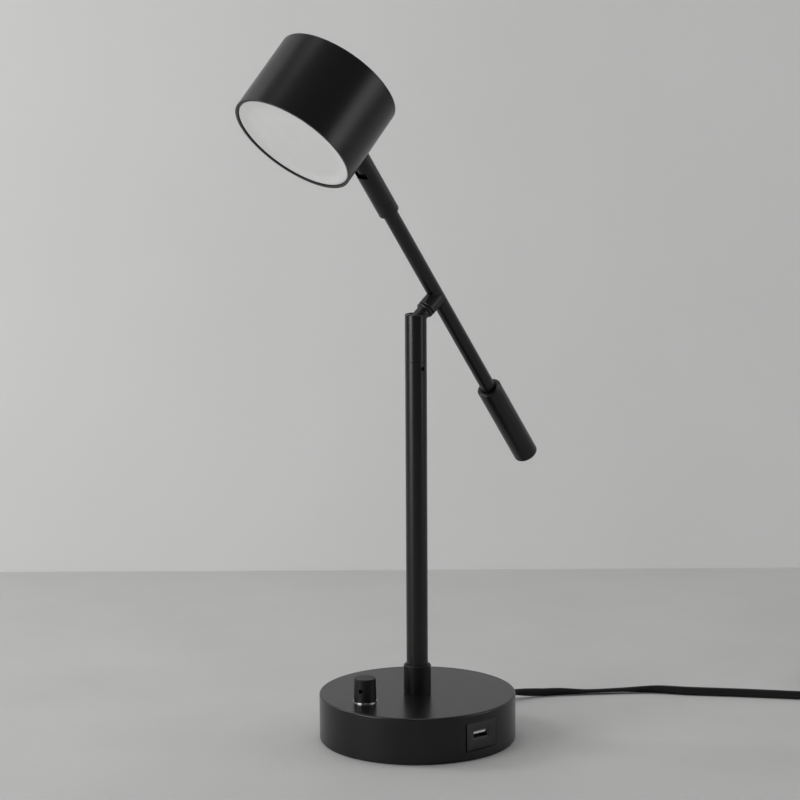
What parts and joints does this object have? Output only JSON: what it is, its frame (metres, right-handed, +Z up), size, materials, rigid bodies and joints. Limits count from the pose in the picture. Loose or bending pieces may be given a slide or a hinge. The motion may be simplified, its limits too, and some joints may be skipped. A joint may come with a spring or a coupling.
{
  "type": "balance arm desk lamp",
  "caption": "Satin black desk lamp: round base with a dimmer knob and a USB socket, upright stem, counterweighted tilting arm and a drum shade with an opal diffuser.",
  "frame": {"origin": "centre of the round foot's underside, on the table", "axes": "+Z up along the stem; -Y to the front, between the knob (to the left) and the socket (to the right); +X to the lamp's right as seen from the front"},
  "size_m": [0.5011, 0.448, 0.5022],
  "materials": {
    "black_satin": "satin",
    "black_shade": "satin",
    "black_knob": "satin, dark anodised",
    "cast_iron": "rough",
    "zinc_sheet": "zinc plated",
    "bright_metal": "bright",
    "raw_aluminium": "satin",
    "tin_shell": "bright",
    "gold_contact": "satin",
    "black_screw": "satin, dark oxide",
    "black_foam": "matte",
    "black_rubber": "satin",
    "black_cord": "satin",
    "black_plug": "satin",
    "black_fabric": "matte",
    "black_plastic": "satin",
    "white_plastic": "satin",
    "grey_plastic": "satin",
    "board_green": "gloss",
    "board_white": "gloss",
    "led_yellow": "gloss",
    "opal_diffuser": "satin, opal"
  },
  "bodies": {
    "base": {"base_cover": "black_satin", "ballast": "cast_iron", "bottom_plate": "zinc_sheet", "plate_screws": "zinc_sheet", "foot_pad": "black_foam", "stem_nipple": "zinc_sheet", "stem_washer": "zinc_sheet", "stem_nut": "zinc_sheet", "stem_collar": "black_satin", "stem_tube": "black_satin", "stem_swivel_screw": "black_screw", "socket_panel": "black_plastic", "socket_shell": "tin_shell", "socket_tongue": "white_plastic", "socket_contacts": "gold_contact", "socket_board": "board_green", "driver_tray": "grey_plastic", "driver_board": "board_green", "driver_parts": "grey_plastic", "dimmer_body": "grey_plastic", "knob_washer": "bright_metal", "dimmer_nut": "bright_metal", "cord_relief": "black_rubber", "cord": "black_cord", "cord_coil": "black_cord", "coil_tie": "black_fabric", "plug_body": "black_plug", "plug_blades": "gold_contact"},
    "upper_stem": {"stem_knuckle": "black_satin", "stem_pin": "black_screw"},
    "neck": {"arm_neck": "black_satin"},
    "arm": {"arm_stub": "black_satin", "arm_plug": "zinc_sheet", "arm_rod": "black_satin", "arm_screw": "black_screw", "arm_ring": "black_satin", "ring_screw": "black_screw", "counterweight": "black_satin", "weight_screw": "black_screw"},
    "head_swivel": {"head_knuckle": "black_satin", "head_pin": "black_screw"},
    "head": {"head_neck": "black_satin", "head_stub": "black_satin", "head_nut": "zinc_sheet", "shade": "black_shade", "heat_spreader": "raw_aluminium", "led_board": "board_white", "leds": "led_yellow", "lamp_screws": "zinc_sheet", "diffuser": "opal_diffuser"},
    "dimmer_knob": {"knob": "black_knob", "knob_screw": "black_screw", "dimmer_shaft": "bright_metal"}
  },
  "joints": [
    {"name": "stem_swivel", "type": "hinge", "parent": "base", "child": "upper_stem", "pos_m": [0, 0, 0.2722], "axis": [0, 0, 1], "range_deg": [-160, 160]},
    {"name": "neck_tilt", "type": "hinge", "parent": "upper_stem", "child": "neck", "pos_m": [0, 0, 0.3005], "axis": [-0.7302, 0.6833, 0], "range_deg": [-50.9, 4.1]},
    {"name": "arm_turn", "type": "hinge", "parent": "neck", "child": "arm", "pos_m": [0.01326, 0.01417, 0.31627], "axis": [0.5302, 0.5666, 0.6307], "range_deg": [-170, 170]},
    {"name": "head_swivel", "type": "hinge", "parent": "arm", "child": "head_swivel", "pos_m": [-0.02735, -0.0516, 0.40949], "axis": [-0.3353, -0.543, 0.7698], "range_deg": [-170, 170]},
    {"name": "head_tilt", "type": "hinge", "parent": "head_swivel", "child": "head", "pos_m": [-0.02735, -0.0516, 0.40949], "axis": [0.7932, -0.6036, -0.0803], "range_deg": [-7.3, 47.7]},
    {"name": "knob_turn", "type": "hinge", "parent": "base", "child": "dimmer_knob", "pos_m": [-0.03358, -0.02919, 0.0335], "axis": [0, 0, 1], "range_deg": [-135, 135]}
  ]
}
